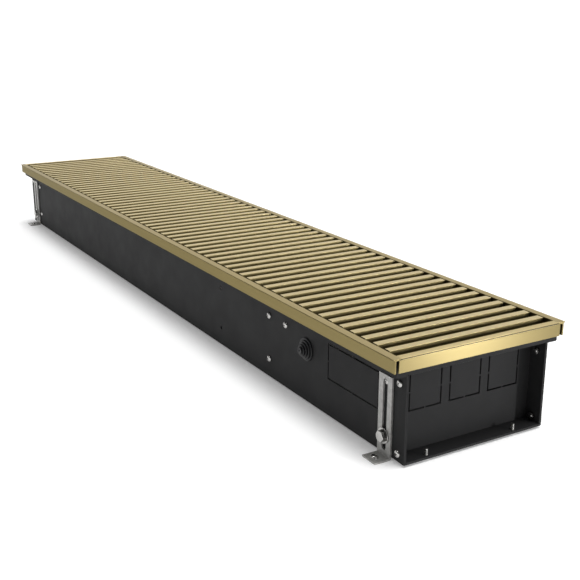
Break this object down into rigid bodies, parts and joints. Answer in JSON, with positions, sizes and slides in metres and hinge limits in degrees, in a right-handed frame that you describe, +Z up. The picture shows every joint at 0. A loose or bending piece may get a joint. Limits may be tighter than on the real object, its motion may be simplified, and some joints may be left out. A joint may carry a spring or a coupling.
{
  "type": "trench convector heater",
  "caption": "Floor trench convector heater: a black folded-sheet trough with a gold frame, a roll-up slatted grille, slotted feet, and a finned exchanger and cross-flow fan inside.",
  "frame": {"origin": "centre of the footprint, on the floor plane that the feet stand on", "axes": "+X along the heater towards the connection end, +Y to the rear long side, +Z up out of the floor; the front long side with the cable grommet faces -Y"},
  "size_m": [1.5, 0.2666, 0.141],
  "materials": {
    "trough_black": "satin black powder coat",
    "gold_anodised": "satin champagne-gold anodised",
    "zinc_plated": "zinc plated",
    "bright_steel": "bright zinc",
    "black_rubber": "matt",
    "copper_tube": "drawn copper",
    "brass_fitting": "machined",
    "fin_aluminium": "mill finish",
    "fan_aluminium": "satin",
    "motor_paint": "satin",
    "grey_plastic": "fine texture",
    "ivory_plastic": "smooth"
  },
  "bodies": {
    "trough": {"trough_shell": "trough_black", "near_end_plate": "trough_black", "far_end_plate": "trough_black", "front_frame_rail": "gold_anodised", "rear_frame_rail": "gold_anodised", "near_frame_rail": "gold_anodised", "far_frame_rail": "gold_anodised", "grille_seat_strips": "black_rubber", "foot_bolts": "bright_steel", "foot_washers": "bright_steel", "foot_weld_nuts": "zinc_plated", "foot_guide_screws": "bright_steel", "end_plate_screws": "bright_steel", "end_plate_nuts": "bright_steel", "base_screws": "bright_steel", "near_cradle": "zinc_plated", "far_cradle": "zinc_plated", "cradle_screws": "bright_steel", "cradle_nuts": "bright_steel", "exchanger_fins": "fin_aluminium", "exchanger_side_plates": "zinc_plated", "exchanger_tubes": "copper_tube", "exchanger_far_bends": "copper_tube", "exchanger_near_bend": "copper_tube", "supply_socket": "brass_fitting", "return_socket": "brass_fitting", "air_vent_body": "brass_fitting", "fan_scroll": "zinc_plated", "fan_tongue": "zinc_plated", "fan_end_plates": "zinc_plated", "fan_motor": "motor_paint", "motor_feet": "zinc_plated", "bearing_bush": "brass_fitting", "bearing_ring": "black_rubber", "terminal_box": "grey_plastic", "terminal_box_lid": "grey_plastic", "terminal_block": "ivory_plastic", "terminal_box_screw": "bright_steel", "cable_grommet": "black_rubber", "motor_lead": "black_rubber"},
    "grille": {"grille_slats": "gold_anodised", "grille_rods": "bright_steel", "grille_spacers": "black_rubber", "grille_rod_nuts": "bright_steel"},
    "rotor": {"fan_rotor": "fan_aluminium", "rotor_shafts": "bright_steel", "rotor_coupling": "black_rubber", "motor_shaft": "bright_steel"},
    "vent_screw": {"air_vent_screw": "bright_steel"},
    "near_front_support": {"near_front_foot": "zinc_plated", "near_front_plate_screw": "bright_steel"},
    "near_rear_support": {"near_rear_foot": "zinc_plated", "near_rear_plate_screw": "bright_steel"},
    "far_front_support": {"far_front_foot": "zinc_plated", "far_front_plate_screw": "bright_steel"},
    "far_rear_support": {"far_rear_foot": "zinc_plated", "far_rear_plate_screw": "bright_steel"}
  },
  "joints": [
    {"name": "grille_lift", "type": "slide", "parent": "trough", "child": "grille", "axis": [0, 0, 1], "range_m": [0, 0.15]},
    {"name": "fan_spin", "type": "hinge", "parent": "trough", "child": "rotor", "pos_m": [0.3, -0.058, 0.052], "axis": [1, 0, 0], "continuous": true},
    {"name": "vent_screw_turn", "type": "hinge", "parent": "trough", "child": "vent_screw", "pos_m": [0.45995, 0.05708, 0.1], "axis": [0, 0, 1], "range_deg": [0, 360]},
    {"name": "near_front_foot_height", "type": "slide", "parent": "trough", "child": "near_front_support", "axis": [0, 0, 1], "range_m": [0, 0.009]},
    {"name": "near_rear_foot_height", "type": "slide", "parent": "trough", "child": "near_rear_support", "axis": [0, 0, 1], "range_m": [0, 0.009]},
    {"name": "far_front_foot_height", "type": "slide", "parent": "trough", "child": "far_front_support", "axis": [0, 0, 1], "range_m": [0, 0.009]},
    {"name": "far_rear_foot_height", "type": "slide", "parent": "trough", "child": "far_rear_support", "axis": [0, 0, 1], "range_m": [0, 0.009]}
  ]
}
